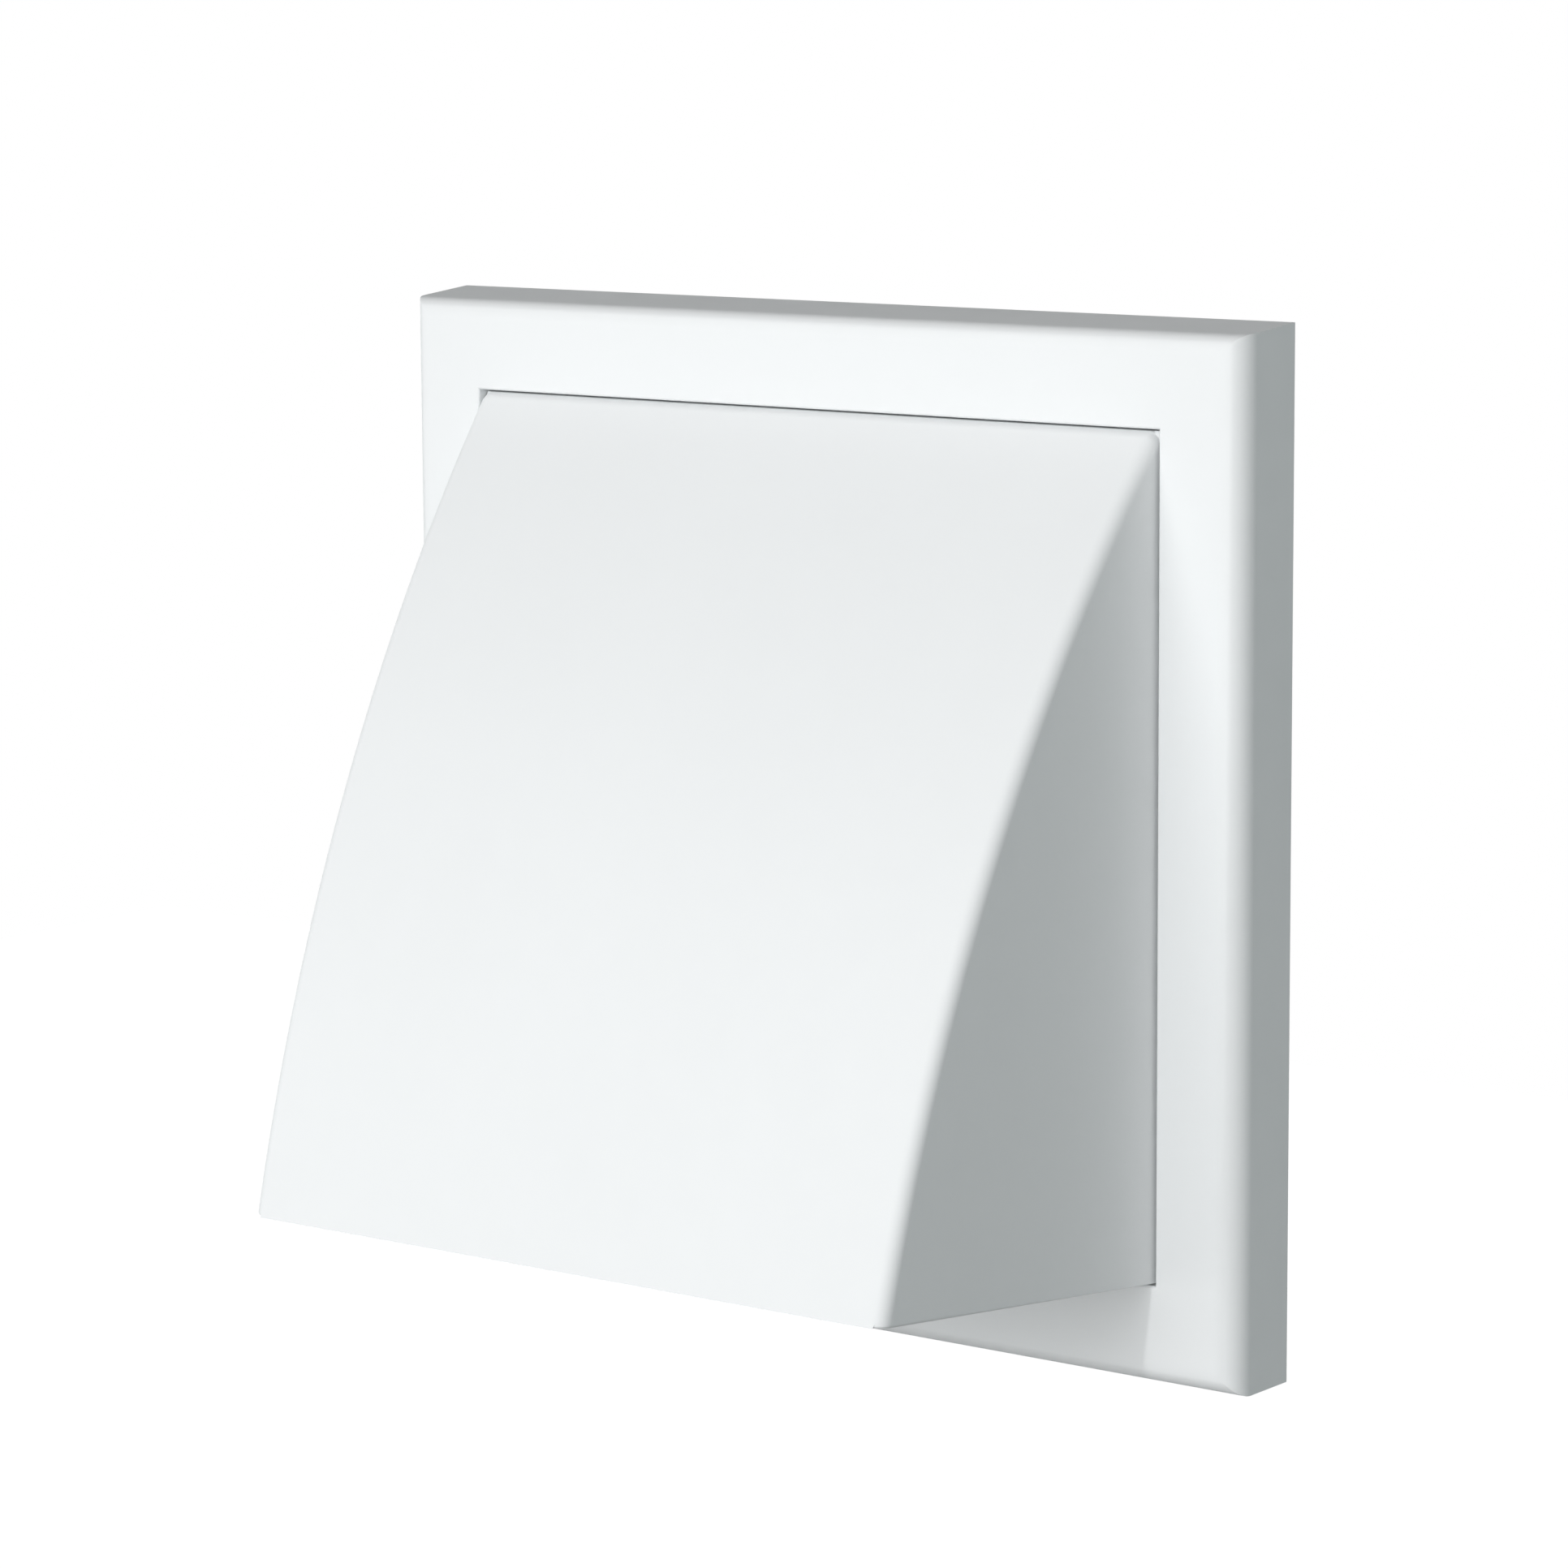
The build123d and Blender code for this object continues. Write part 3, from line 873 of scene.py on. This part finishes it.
def square_lamp(name, place, size, power):
    """A square lamp turned to the vent, which the camera doesn't see."""
    data = bpy.data.lights.new(name, "AREA")
    data.shape = "SQUARE"
    data.size = size
    data.energy = power
    made = bpy.data.objects.new(name, data)
    bpy.context.scene.collection.objects.link(made)
    made.location = place
    made.rotation_mode = "QUATERNION"
    made.rotation_quaternion = (-Vector(place)).to_track_quat("-Z", "Y")
    made.visible_camera = False


def camera(stage):
    """The camera at the photograph's viewing angle."""
    data = bpy.data.cameras.new("camera")
    data.sensor_width = SENSOR_WIDTH
    data.lens = stage.lens
    data.clip_start = CLIP_START
    made = bpy.data.objects.new("camera", data)
    bpy.context.scene.collection.objects.link(made)
    azimuth, elevation = stage.view_azimuth, stage.view_elevation
    level = math.cos(elevation)
    back = Vector((math.sin(azimuth) * level, -math.cos(azimuth) * level, math.sin(elevation)))
    made.location = Vector(stage.view_target) + back * stage.view_distance
    made.rotation_mode = "QUATERNION"
    made.rotation_quaternion = (-back).to_track_quat("-Z", "Y") @ Quaternion((0, 0, 1), stage.view_roll)
    bpy.context.scene.camera = made


def floor(stage):
    """A plain pale floor."""
    level = Matrix.Translation((0, 0, -stage.floor_drop))
    bm = bmesh.new()
    bmesh.ops.create_grid(bm, x_segments=1, y_segments=1, size=stage.floor_half, matrix=level)
    made = as_object(bm, "floor")
    made.data.materials.append(white_paper(stage))


def world(stage):
    """White where it is seen, and for everything else a plain light that dims towards the ceiling."""
    made = bpy.data.worlds.new("studio")
    tree = empty_tree(made)
    direction = add(tree, "ShaderNodeTexCoord").outputs["Generated"]
    part = add(tree, "ShaderNodeSeparateXYZ", {"Vector": direction}).outputs
    behind = add(
        tree, "ShaderNodeMapRange",
        {"Value": part["Y"], "From Min": WALLS_CHANGE[0], "From Max": WALLS_CHANGE[1]},
        interpolation_type="SMOOTHSTEP",
    )
    walls = add(
        tree, "ShaderNodeMixRGB",
        {"Fac": behind.outputs["Result"], "Color1": stage.ambient_front, "Color2": stage.ambient_back},
    )
    above = add(
        tree, "ShaderNodeMapRange",
        {"Value": part["Z"], "From Min": CEILING_FADES[0], "From Max": CEILING_FADES[1]},
        interpolation_type="SMOOTHSTEP",
    )
    room = add(
        tree, "ShaderNodeMixRGB",
        {"Fac": above.outputs["Result"], "Color1": walls.outputs["Color"], "Color2": stage.ambient_above},
    )
    tint = add(
        tree, "ShaderNodeMixRGB",
        {"Fac": seen_directly(tree), "Color1": room.outputs["Color"], "Color2": WHITE},
    )
    light = add(tree, "ShaderNodeBackground", {"Color": tint.outputs["Color"], "Strength": 1.0})
    add(tree, "ShaderNodeOutputWorld", {"Surface": light.outputs["Background"]})
    bpy.context.scene.world = made


class VENT_OT_stage(bpy.types.Operator):
    """Sets the floor, the light and the camera"""

    bl_idname = "vent.stage"
    bl_label = "Stage"

    def execute(self, context):
        stage = context.scene.vent_stage
        floor(stage)
        world(stage)
        square_lamp("key", stage.key_place, stage.key_size, stage.key_watts)
        square_lamp("softbox", stage.soft_place, stage.soft_size, stage.soft_watts)
        camera(stage)
        context.scene.view_settings.view_transform = "Standard"
        return {"FINISHED"}


# Panel and registration


class VENT_PT_panel(bpy.types.Panel):
    """Lists the vent's pieces and their settings"""

    bl_idname = "VENT_PT_panel"
    bl_label = "Wall vent"
    bl_space_type = "VIEW_3D"
    bl_region_type = "UI"
    bl_category = "Wall vent"

    def draw(self, context):
        for name, (group, operator) in SETTINGS.items():
            box = self.layout.box()
            if operator:
                box.operator(operator.bl_idname)
            else:
                box.label(text=group.__doc__)
            for setting in group.__annotations__:
                box.prop(getattr(context.scene, name), setting)


# Each group of settings, and the operator that builds from it
SETTINGS = {
    "vent_frame": (VentFrameSizes, VENT_OT_frame),
    "vent_hood": (VentHoodSizes, VENT_OT_hood),
    "vent_flap": (VentFlapSizes, VENT_OT_flap),
    "vent_finish": (VentFinish, None),
    "vent_stage": (VentStage, VENT_OT_stage),
}
CLASSES = [
    VentFrameSizes, VentHoodSizes, VentFlapSizes, VentFinish, VentStage,
    VENT_OT_frame, VENT_OT_hood, VENT_OT_flap, VENT_OT_stage, VENT_PT_panel,
]


def register():
    for item in CLASSES:
        bpy.utils.register_class(item)
    for name, (group, _) in SETTINGS.items():
        setattr(bpy.types.Scene, name, PointerProperty(type=group))


def unregister():
    for name in SETTINGS:
        delattr(bpy.types.Scene, name)
    for item in reversed(CLASSES):
        bpy.utils.unregister_class(item)


def main():
    register()
    bpy.ops.vent.frame()
    bpy.ops.vent.hood()
    bpy.ops.vent.flap()
    bpy.ops.vent.stage()


if __name__ == "__main__":
    main()
